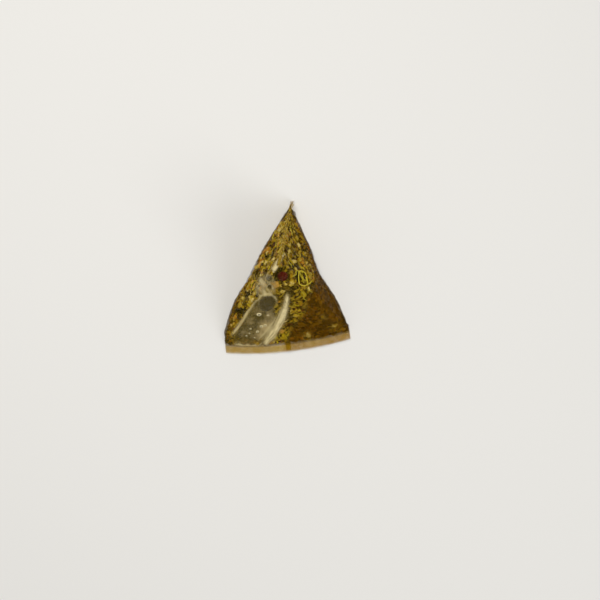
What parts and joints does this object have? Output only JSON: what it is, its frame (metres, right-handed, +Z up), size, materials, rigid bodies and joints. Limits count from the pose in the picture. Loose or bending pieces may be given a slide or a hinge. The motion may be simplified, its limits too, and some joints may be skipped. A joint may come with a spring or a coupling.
{
  "type": "pyramid tea bag",
  "caption": "Steeped pyramid tea bag: a fine mesh tube sealed flat at one end and upright at the other, filled with a cut herb blend, lying on one face.",
  "frame": {"origin": "under the middle of the bag's outline, on the table it lies on", "axes": "+Z up, +Y over the table from the flat front seal to the far corner, +X across to the right"},
  "size_m": [0.05, 0.0612, 0.0452],
  "materials": {
    "mesh": "fine wet see-through mesh",
    "bed": "wet chopped herbs",
    "leaf": "wet torn leaf",
    "root": "wet pale root",
    "petal": "wet flower strap",
    "stem": "wet stalk",
    "seed": "wet seed coat",
    "rosehip": "glossy wet fruit skin",
    "peel": "wet citrus peel",
    "flower": "wet flower head"
  },
  "bodies": {
    "root": {"filter_bag": "mesh", "herb_bed": "bed", "leaf_cut_1": "leaf", "peel_cut_1": "peel", "seed_1": "seed", "petal_1": "petal", "petal_2": "petal", "leaf_cut_2": "leaf", "root_cut_1": "root", "leaf_cut_3": "leaf", "root_cut_2": "root", "seed_2": "seed", "stem_cut_1": "stem", "leaf_cut_4": "leaf", "flower_head_1": "flower", "leaf_cut_5": "leaf", "petal_3": "petal", "leaf_cut_6": "leaf", "peel_cut_2": "peel", "rosehip_shell_1": "rosehip", "leaf_cut_7": "leaf", "petal_4": "petal", "leaf_cut_8": "leaf", "petal_5": "petal", "seed_3": "seed", "root_cut_3": "root", "stem_cut_2": "stem", "petal_curl_1": "petal", "leaf_cut_9": "leaf", "petal_6": "petal", "root_cut_4": "root", "leaf_cut_10": "leaf", "seed_4": "seed", "leaf_cut_11": "leaf", "rosehip_shell_2": "rosehip", "root_cut_5": "root", "petal_7": "petal", "leaf_cut_12": "leaf", "petal_8": "petal", "seed_5": "seed", "stem_cut_3": "stem", "root_cut_6": "root", "leaf_cut_13": "leaf", "peel_cut_3": "peel", "leaf_cut_14": "leaf", "root_cut_7": "root", "petal_9": "petal", "root_cut_8": "root", "leaf_cut_15": "leaf", "leaf_cut_16": "leaf", "root_cut_9": "root", "leaf_cut_17": "leaf", "petal_10": "petal", "seed_6": "seed", "leaf_cut_18": "leaf"}
  },
  "joints": []
}
